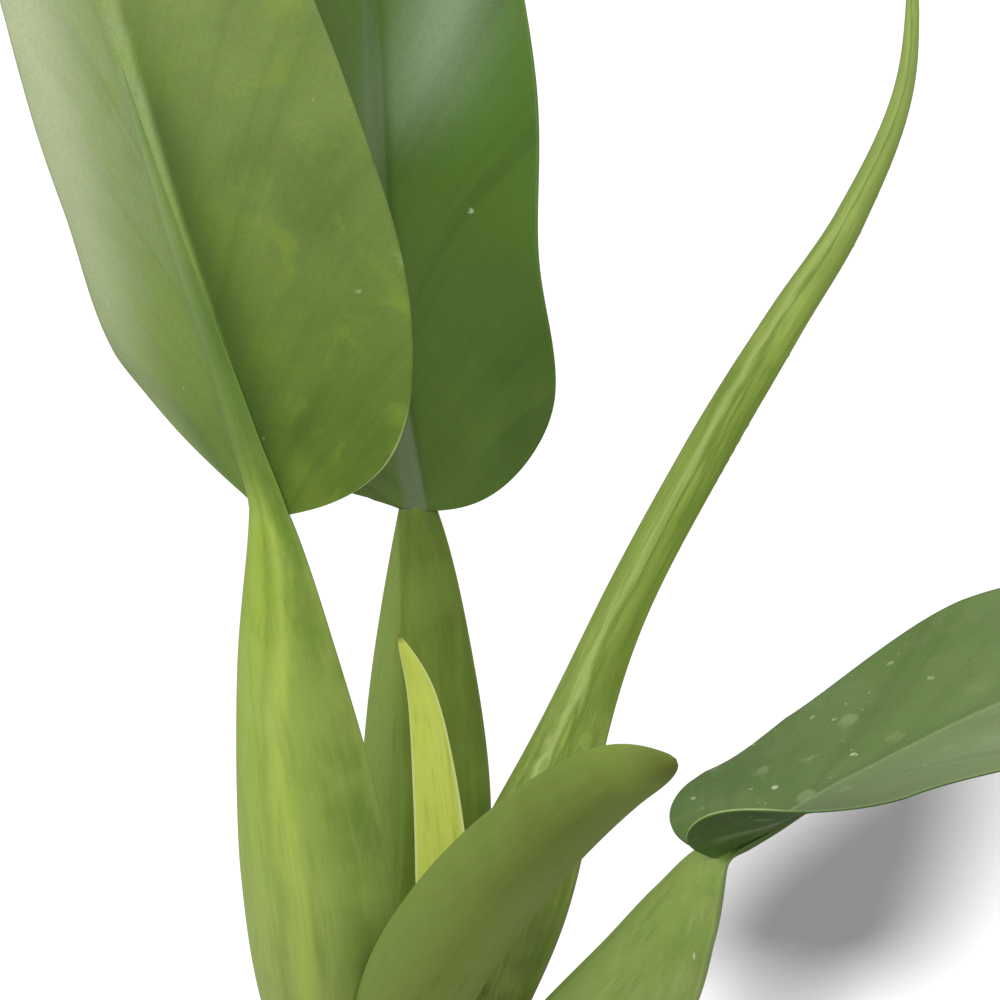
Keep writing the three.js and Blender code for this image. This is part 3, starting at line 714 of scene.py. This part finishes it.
rolledLeaf = {
    "name": "rolledLeaf", "node": "leaf_rolled", "joint": 4, "sides": 96, "rings": 220,
    "route": [
        (8.5, 6, 130, -40), (16.5, 8, 168, -40), (28, 10, 205, -35), (42.6, 14, 246, -28),
        (59.8, 16, 282, -20), (75.2, 20, 309, 0), (88.2, 23, 331, 25), (98, 25, 358, 50),
        (99, 28, 390, 70),
    ],
    "stalk": {"belly": 13, "neck": 4.8, "peak": 0.34, "spread": 0.25, "front": 0.6, "back": 0.8},
    "tipHalf": 0.7, "seamStep": 0.17, "seamTwist": 150, "seamShare": 0.03, "wound": 0.985,
    "rollStart": 0.08, "rollTaper": 1.2,
    "tones": {
        # the dark foot is painted shade: the lower belly is darkened where the front bract shades
        # it
        "foot": (98, 107, 57), "neck": (140, 165, 69), "neckAt": 0.5, "fadeOver": 0.5,
        "ribTone": (142, 162, 78), "ribEnd": (152, 172, 96), "ribFade": 0.8,
        "dark": (96, 124, 42), "light": (172, 190, 96), "shade": 0.3,
        "cloud": 0.3, "patches": 0.5, "streak": 0.5, "fibre": 0.3,
        "ridge": 0.8, "ridgeAt": -0.12, "ridgeWidth": 0.17, "ridgeHighlightTone": (182, 198, 122),
        "ragged": 1.3, "paintedGrooveShade": 0.6, "edge": 0.2, "edgeTone": (170, 190, 80), "flecks": 0.02,
    },
}


def finishShoot(shoot, mesh, place, course, layers):
    length = course.length(0, course.spans)
    growShoot(mesh, shoot["sides"], shoot["rings"], place, length, layers)
    addPiece(shoot["name"], mesh, [paintStalk(shoot["name"], shoot["tones"])], shoot["node"])
    print(shoot["name"], "grown")


def makeRolledLeaf(leaf):
    mesh = bmesh.new()
    layers = addLayers(mesh)
    course, stalk = Course(leaf["route"]), leaf["stalk"]
    joint, start = leaf["joint"] / course.spans, leaf["rollStart"]

    def place(s, angle, reach):
        at = course.at(s * course.spans)
        if s < joint:
            half = stalkHalf(stalk, s / joint)
        else:
            upwards = ((s - joint) / (1 - joint)) ** leaf["rollTaper"]
            half = lerp(stalk["neck"], leaf["tipHalf"], upwards)
        rolled = smoothstep(s, joint - start, joint + start)
        share = (angle / (2 * math.pi)) % 1
        wound = min(1.0, share / (1 - leaf["seamShare"]))
        around = lerp(share, leaf["wound"] * wound, rolled) * 2 * math.pi
        around += math.radians(leaf["seamTwist"]) * max(0.0, s - joint + start)
        radius = half * reach * (1 + leaf["seamStep"] * rolled * (0.5 - wound))
        flat = sectionPoint(at, half * reach, angle, stalk["front"], stalk["back"])
        point, _, face, side = at
        wrapped = point + side * (radius * math.cos(around)) + face * (radius * math.sin(around))
        return flat.lerp(wrapped, rolled), half

    finishShoot(leaf, mesh, place, course, layers)


makeRolledLeaf(rolledLeaf)

frontBract = {
    "name": "frontBract", "node": "bract_front", "sides": 80, "rings": 140,
    "route": [
        (2, -10, 119, 180), (-2, -20, 153, 180), (0.5, -31, 181, 180), (9.5, -43, 206.5, 180),
        (23, -60, 234, 178), (38, -84, 261, 174), (50, -100, 273.8, 170),
    ],
    "foot": 5.5, "belly": 12, "swell": 0.45, "blunt": 1.7, "taper": 0.55, "front": 0.25,
    "back": 0.62, "keel": 0,
    "tones": {
        "foot": (130, 150, 78), "neck": (112, 130, 54), "neckAt": 0.9,
        "ribTone": (94, 106, 42), "ribEnd": (94, 106, 42),
        "paintedLightSide": 0.7, "paintedLightSideAt": -4.0, "paintedLightSideSoft": 4.0, "paintedLightSideTone": (146, 162, 84),
        "dark": (88, 108, 40), "light": (128, 150, 68), "shade": 0.1,
        "cloud": 0.4, "patches": 0.25, "streak": 0.12, "fibre": 0.1,
        "edge": 0.1, "edgeTone": (130, 150, 80), "tipDark": 0.1, "flecks": 0.0,
        "shine": 0.16, "roughness": 0.5,
    },
}
newSpear = {
    "name": "newSpear", "node": "new_spear", "sides": 64, "rings": 110,
    "route": [
        (3, -2, 147.8, 0), (6.4, -3, 172, 0), (6, -3, 196, 0), (4.5, -3, 218, 0),
        (2, -3, 237, 0), (-2.5, -4, 251, 0),
    ],
    "foot": 4.3, "belly": 4.9, "swell": 0.35, "blunt": 1.3, "taper": 0.7, "front": 0.55,
    "back": 0.6, "keel": 0.16,
    "tones": {
        "foot": (200, 212, 96), "neck": (212, 224, 98), "neckAt": 0.7, "fadeOver": 0.3,
        "ribTone": (204, 216, 98), "ribEnd": (204, 216, 98),
        "dark": (156, 172, 58), "light": (214, 222, 120), "shade": 0.15,
        "cloud": 0.3, "patches": 0.3, "streak": 0.5, "fibre": 0.4,
        "edge": 0.8, "edgeTone": (226, 232, 168), "tipDark": 0.9, "flecks": 0.0,
        "shine": 0.2, "roughness": 0.44,
    },
}


def makeShoot(shoot):
    mesh = bmesh.new()
    layers = addLayers(mesh)
    course = Course(shoot["route"])

    def place(s, angle, reach):
        swell = shoot["swell"]
        rise = 1 - (1 - s / swell) ** 2 if s < swell else 1
        fall = (s - swell) / (1 - swell) if s > swell else 0
        blunt = max(growth["leastTip"], (1 - fall ** shoot["blunt"]) ** shoot["taper"])
        half = lerp(shoot["foot"], shoot["belly"], rise) * blunt
        keel = max(0.0, math.cos(2 * angle)) ** growth["keelKeenness"]
        half *= reach * (1 + shoot["keel"] * keel)
        at = course.at(s * course.spans)
        return sectionPoint(at, half, angle, shoot["front"], shoot["back"]), half

    finishShoot(shoot, mesh, place, course, layers)


makeShoot(frontBract)
makeShoot(newSpear)

pot = {
    "height": 116, "foot": 44, "rim": 65.99, "wall": 5, "floor": 7, "corner": 4, "band": 20,
    "step": 3.5, "round": 1.5, "bevel": 0.5, "sharpFrom": 0.35, "steps": 144,
    "holes": 3, "holeRadius": 5, "holeCircle": 24, "holeTurn": 30, "holeSides": 48,
}
pot["bandBottom"] = pot["height"] - pot["band"]


# the outer radius of the wall below the rim band
def wallAt(z):
    return lerp(pot["foot"], pot["rim"] - pot["step"], z / pot["bandBottom"])


def paintClay():
    paint = Paint("firedClay", Specular_IOR_Level=0.3)
    place = paint.place()
    z = paint.split(place)[2]
    cloud = paint.noise(place, 16.0, 4.0, 0.6)
    blotch = paint.noise(place, 45.0, 4.0, 0.65, 0.5)
    grit = paint.noise(place, 1100.0, 2.0, 0.7)
    rings = paint.noise(paint.join(0.0, 0.0, z), 520.0, 2.0, 0.5)
    paint.color = paint.mix(cloud, (170, 100, 66), (198, 128, 90))
    paint.lay(grit.rise(0.55, 0.75) * 0.35, (142, 80, 54))
    paint.lay(rings.rise(0.55, 0.75) * 0.2, (150, 86, 58))
    bloom = blotch.rise(0.5, 0.7) * z.rise(0.12, 0.03)
    paint.lay(bloom * 0.5, (218, 190, 168))
    # darker over the top of the pot, the rim and the inner wall above the soil
    darkerTop = (z + (cloud - 0.5) * 0.03).rise(0.1, 0.113)
    paint.lay(darkerTop * 0.3, (128, 74, 52))
    relief = grit * 0.3 + rings * 0.8 + blotch * 0.3
    return paint.finish(cloud * 0.1 + 0.76, relief, strength=0.3, depth=0.0007)


def makePot():
    mesh = bmesh.new()
    band, rim, wall, corner = pot["bandBottom"], pot["rim"], pot["wall"], pot["corner"]
    bend = pot["round"]
    profile = [
        (0, 0), (pot["foot"] - bend, 0), (pot["foot"], bend),
        (wallAt(band) - bend / 2, band - bend / 2), (rim - bend / 2, band),
        (rim, band + bend / 2), (rim, pot["height"] - bend), (rim - bend, pot["height"]),
        (rim - wall + bend / 2, pot["height"]), (rim - wall, pot["height"] - bend / 2),
        (wallAt(band) - wall, band), (wallAt(pot["floor"] + corner) - wall, pot["floor"] + corner),
        (pot["foot"] - wall - corner, pot["floor"]), (0, pot["floor"]),
    ]
    verts = [mesh.verts.new((radius * mm, 0, z * mm)) for radius, z in profile]
    edges = [mesh.edges.new(pair) for pair in zip(verts, verts[1:])]
    bmesh.ops.spin(mesh, geom=verts + edges, axis=(0, 0, 1), cent=(0, 0, 0), steps=pot["steps"],
                   angle=2 * math.pi, use_merge=True)
    bmesh.ops.remove_doubles(mesh, verts=mesh.verts, dist=1e-6)
    mesh.normal_update()
    folds = [edge for edge in mesh.edges if edge.is_manifold]
    sharp = [edge for edge in folds if edge.calc_face_angle() > pot["sharpFrom"]]
    bmesh.ops.bevel(mesh, geom=sharp, offset=pot["bevel"] * mm, segments=3, profile=0.5,
                    affect="EDGES", material=-1)
    bmesh.ops.recalc_face_normals(mesh, faces=mesh.faces)
    piece = addPiece("clayPot", mesh, [paintClay()], "pot")
    cutter = bmesh.new()
    for i in range(pot["holes"]):
        angle = math.radians(pot["holeTurn"]) + 2 * math.pi * i / pot["holes"]
        spot = Vector((math.cos(angle), math.sin(angle), 0)) * pot["holeCircle"] * mm
        bmesh.ops.create_cone(cutter, cap_ends=True, segments=pot["holeSides"],
                              radius1=pot["holeRadius"] * mm, radius2=pot["holeRadius"] * mm,
                              depth=4 * pot["floor"] * mm, matrix=Matrix.Translation(spot))
    holes = addObject("holes", meshData("holes", cutter))
    cut = piece.modifiers.new("holes", "BOOLEAN")
    cut.object = holes
    cut.solver = "EXACT"
    pierced = piece.evaluated_get(bpy.context.evaluated_depsgraph_get())
    whole = bpy.data.meshes.new_from_object(pierced)
    piece.modifiers.clear()
    piece.data = whole
    bpy.data.objects.remove(holes)
    print("pot thrown")


makePot()

# the soil is a ball whose rings make the underside, the corner, the wall and the top in turn
soil = {
    "top": 104, "drop": 1.5, "rise": 2, "edge": 6, "gap": 0.3, "flare": 0.9, "sides": 180,
    "rings": 220, "flatTo": 0.1, "cornerTo": 0.15, "wallTo": 0.4, "lumps": 0.8, "lumpSize": 5,
    "fineLumps": 0.6, "fineRatio": 2.4, "sunk": 0.15, "tilt": 0.4, "fineFrom": 1.2,
    "wear": 0.5, "wearSize": 1.7, "stemClear": 12, "wallClear": 2.5,
    "shape": ((0.7, 1.2), (0.6, 1), (0.5, 0.9)),
}
crumbs = {"count": 520, "size": (0.5, 1.5), "tones": ((44, 31, 23), (98, 72, 52))}
barkChips = {
    "count": 60, "size": (1.6, 3.6), "tones": ((96, 62, 40), (150, 108, 72)),
    "shape": ((0.9, 1.3), (0.35, 0.6), (0.18, 0.3)),
}
perlite = {"count": 46, "size": (0.6, 1.3), "tones": ((196, 190, 178), (236, 232, 222))}
soil["radius"] = wallAt(pot["bandBottom"]) - pot["wall"] + soil["flare"] - soil["gap"]


# the soil heaps a little towards the stem and drops off at the wall
def soilHeight(radius):
    inward = clamp(1 - radius / soil["radius"])
    drop = soil["drop"] * (1 - min(1.0, inward * soil["edge"]))
    return soil["top"] + soil["rise"] * inward ** 2 - drop


def paintSoil():
    paint = Paint("pottingMix", Specular_IOR_Level=0.25)
    kind, lot, _ = paint.attribute("share")
    place = paint.place()
    clod = paint.noise(place, 150.0, 4.0, 0.65)
    grain = paint.noise(place, 1100.0, 2.0, 0.7)
    paint.color = paint.mix(clod, (32, 22, 16), (84, 60, 42))
    paint.lay(grain.rise(0.6, 0.8) * 0.5, (118, 94, 72))
    for number, bits in enumerate((crumbs, barkChips, perlite)):
        paint.lay(kind.rise(number + 0.5, number + 0.9), paint.mix(lot, *bits["tones"]))
    paint.lay((grain - 0.5).size() * 0.6, (40, 28, 20))
    return paint.finish(clod * 0.1 + 0.85, clod + grain * 0.4, strength=0.7, depth=0.0016)


def layBed(mesh, share):
    wall, gap, bend = pot["wall"], soil["gap"], pot["floor"] + pot["corner"]
    low = pot["floor"] + gap
    profile = [
        (0, 0, low), (soil["flatTo"], pot["foot"] - wall - pot["corner"] - gap, low),
        (soil["cornerTo"], wallAt(bend) - wall - gap, bend + gap),
        (soil["wallTo"], soil["radius"], soil["top"] - soil["drop"]),
    ]
    for vert, s, angle in addBall(mesh, soil["sides"], soil["rings"]):
        if s < soil["wallTo"]:
            start, end = next((a, b) for a, b in zip(profile, profile[1:]) if s < b[0])
            up = (s - start[0]) / (end[0] - start[0])
            radius, z = [lerp(a, b, up) for a, b in zip(start[1:], end[1:])]
            x, y = radius * math.cos(angle), radius * math.sin(angle)
        else:
            radius = soil["radius"] * (1 - s) / (1 - soil["wallTo"])
            x, y = radius * math.cos(angle), radius * math.sin(angle)
            lump = rough(x, y, 0, soil["lumpSize"])
            lump += soil["fineLumps"] * rough(x, y, 9, soil["lumpSize"] / soil["fineRatio"])
            z = soilHeight(radius)
            z += soil["lumps"] * lump * min(1.0, (soil["radius"] - radius) / 2)
        vert[share] = (0, 0, 0)
        vert.co = Vector((x, y, z)) * mm


def strew(mesh, share, kind, bits, chance):
    farthest = soil["radius"] - soil["wallClear"]
    radius = math.sqrt(chance.uniform(soil["stemClear"] ** 2, farthest ** 2))
    angle, size = chance.uniform(0, 2 * math.pi), chance.uniform(*bits["size"])
    lot = chance.random()
    shape = Vector([chance.uniform(*limits) for limits in soil["shape"]])
    if "shape" in bits:
        shape = Vector([chance.uniform(*limits) for limits in bits["shape"]])
    height = soilHeight(radius) + size * soil["sunk"]
    spot = Vector((radius * math.cos(angle), radius * math.sin(angle), height))
    turn = Matrix.Rotation(chance.uniform(0, math.pi), 4, "Z")
    turn = turn @ Matrix.Rotation(chance.uniform(-soil["tilt"], soil["tilt"]), 4, "X")
    placed = Matrix.Translation(spot * mm) @ turn @ Matrix.Diagonal((*(shape * size * mm), 1))
    fine = 1 if size < soil["fineFrom"] else 2
    lump = bmesh.ops.create_icosphere(mesh, subdivisions=fine, radius=1, matrix=placed)
    for vert in lump["verts"]:
        away = vert.co / mm - spot
        worn = rough(*(vert.co / mm * soil["wearSize"]), 1.0) * soil["wear"]
        vert.co += away * worn * mm
        vert[share] = (kind, lot, 0)


def makeSoil():
    mesh = bmesh.new()
    share = addLayers(mesh)[0]
    layBed(mesh, share)
    chance = random.Random(11)
    for number, bits in enumerate((crumbs, barkChips, perlite)):
        for _ in range(bits["count"]):
            strew(mesh, share, number + 1, bits, chance)
    addPiece("pottingMix", mesh, [paintSoil()], "soil")
    print("soil filled")


makeSoil()

stem = {
    "radius": 9.5, "top": 147, "topRound": 2, "low": 62.3, "footShare": 0.03, "capShare": 0.05,
    "scarSpacing": 8, "scarDepth": 0.7, "scarKeenness": 6, "scarTilt": 0.8, "scarTurn": 9,
    "inset": 0.15, "rings": 240, "sides": 96, "rootRadius": 2.2, "rootHeight": 5,
    "rootReach": 26, "rootDepth": 9, "rootWaver": 0.12, "rootSides": 20, "rootRings": 60,
    "rootAngles": (60, 145, 178, 300),
}


def paintStem():
    paint = Paint("stemBark", Specular_IOR_Level=0.35)
    root, scar, _ = paint.attribute("share")
    place = paint.place()
    x, y, z = paint.split(place)
    cloud = paint.noise(place, 70.0, 4.0, 0.6)
    grit = paint.noise(paint.join(x, y, z * 2.5), 420.0, 3.0, 0.7)
    paint.color = paint.mix(z.rise(0.104, 0.135), (118, 104, 62), (116, 130, 66))
    paint.lay(cloud.rise(0.4, 0.7) * 0.6, (146, 138, 86))
    paint.lay(scar.clipped() * 0.7, (92, 72, 46))
    paint.lay(root, paint.mix(cloud, (112, 92, 58), (164, 146, 100)))
    paint.lay(grit.rise(0.5, 0.75) * 0.4, (84, 68, 44))
    return paint.finish(cloud * 0.15 + 0.55, grit * 0.6 + cloud, strength=0.5, depth=0.0008)


# leaf scars ring the part of the stem that stands out of the soil, a little aslant
def scarRing(angle, z):
    tilt = stem["scarTilt"] * math.sin(angle + z / stem["scarTurn"])
    turn = 2 * math.pi * (z + tilt - soil["top"]) / stem["scarSpacing"]
    return max(0.0, math.cos(turn)) ** stem["scarKeenness"] if z > soil["top"] else 0.0


def growRoot(mesh, layers, i, angle):
    height = soil["top"] + stem["rootHeight"] + i % 2
    reach, top = stem["rootReach"], soil["top"]
    line = [(stem["radius"] / 2, height), (stem["radius"] + 3, height + 1), (reach - 6, height),
            (reach, top + 4), (reach, top), (reach, top - stem["rootDepth"])]
    route = [(math.cos(angle) * radius, math.sin(angle) * radius, z, 0) for radius, z in line]
    course, waver = Course(route), stem["rootWaver"]

    def place(s, around, reachHere):
        point, _, face, side = course.at(s * course.spans)
        half = stem["rootRadius"] * (1 - waver / 2 + waver * rough(s * 30, i * 7, 0, 1.0))
        half *= reachHere
        return point + side * (half * math.cos(around)) + face * (half * math.sin(around)), half

    before = set(mesh.verts)
    length = course.length(0, course.spans)
    growShoot(mesh, stem["rootSides"], stem["rootRings"], place, length, layers)
    for vert in set(mesh.verts) - before:
        vert[layers[0]] = (1, 0, 0)


def makeStem():
    mesh = bmesh.new()
    layers = addLayers(mesh)
    foot, cap, top = stem["footShare"], stem["capShare"], stem["top"]
    for vert, s, angle in addBall(mesh, stem["sides"], stem["rings"]):
        z = lerp(stem["low"], top, clamp((s - foot) / (1 - foot - cap)))
        ring = scarRing(angle, z)
        radius = stem["radius"] - stem["scarDepth"] * ring - stem["inset"]
        over = max(0.0, (z - top) / stem["topRound"] + 1)
        rounded = stem["topRound"] * (1 - math.sqrt(clamp(1 - over ** 2)))
        radius = min(radius, stem["radius"] - rounded) * min(1.0, s / foot, (1 - s) / cap)
        vert[layers[0]] = (0, ring, 0)
        vert.co = Vector((radius * math.cos(angle), radius * math.sin(angle), z)) * mm
    for i, degrees in enumerate(stem["rootAngles"]):
        growRoot(mesh, layers, i, math.radians(degrees))
    addPiece("rootedStem", mesh, [paintStem()], "stem")
    print("stem grown")


makeStem()

stage = {
    "size": 20, "grey": (0.63, 0.63, 0.63, 1), "room": 0.45, "aim": (30, 0, 280), "away": 1.2,
}


def collect(name, members, state="INCLUDE"):
    group = bpy.data.collections.new(name)
    for member in members:
        group.objects.link(member)
    for entry in group.collection_objects:
        entry.light_linking.link_state = state
    return group


def addFloor():
    mesh = bmesh.new()
    bmesh.ops.create_grid(mesh, x_segments=2, y_segments=2, size=stage["size"])
    floor = addObject("floor", meshData("floor", mesh))
    paint = Paint("paleFloor", Base_Color=stage["grey"], Roughness=0.9, Specular_IOR_Level=0.1)
    floor.data.materials.append(paint.material)
    floor.visible_diffuse = False
    floor.visible_glossy = False
    return floor


lamps = {
    "key": {"azimuth": 3, "elevation": 42, "size": 0.5, "power": 9},
    "left": {"azimuth": -80, "elevation": 25, "size": 0.9, "power": 6.5},
    "top": {"azimuth": 150, "elevation": 60, "size": 0.9, "power": 4},
}
# the floor has a lamp of its own, so that its one shadow lies apart from the studio light
floorLamp = {
    "azimuth": -21.6, "elevation": 44.4, "strength": 6, "angle": 5.5,
    "casters": ("clayPot", "pottingMix", "rootedStem", "backLeaf"),
}


def hangLamp(name, lamp, data):
    around, up = math.radians(lamp["azimuth"]), math.radians(lamp["elevation"])
    away = Vector((math.sin(around) * math.cos(up), -math.cos(around) * math.cos(up), math.sin(up)))
    piece = addObject(name, data)
    piece.location = Vector(stage["aim"]) * mm + away * stage["away"]
    piece.rotation_euler = away.to_track_quat("Z", "Y").to_euler()
    return piece


def addLamps(floor):
    for name, lamp in lamps.items():
        data = bpy.data.lights.new(name, "AREA")
        data.size = lamp["size"]
        data.energy = lamp["power"]
        piece = hangLamp(name, lamp, data)
        piece.light_linking.receiver_collection = collect(name + "Lit", [floor], "EXCLUDE")
    data = bpy.data.lights.new("floorLamp", "SUN")
    data.energy = floorLamp["strength"]
    data.angle = math.radians(floorLamp["angle"])
    piece = hangLamp("floorLamp", floorLamp, data)
    piece.light_linking.receiver_collection = collect("floorLit", [floor])
    casters = [bpy.data.objects[name] for name in floorLamp["casters"]]
    piece.light_linking.blocker_collection = collect("floorShade", casters)
    world = bpy.data.worlds.new("paleRoom")
    bpy.context.scene.world = world
    world.use_nodes = True
    world.node_tree.nodes["Background"].inputs["Color"].default_value = (1, 1, 1, 1)
    world.node_tree.nodes["Background"].inputs["Strength"].default_value = stage["room"]
    bpy.context.scene.view_settings.view_transform = "Standard"


addLamps(addFloor())
print("stage lit")
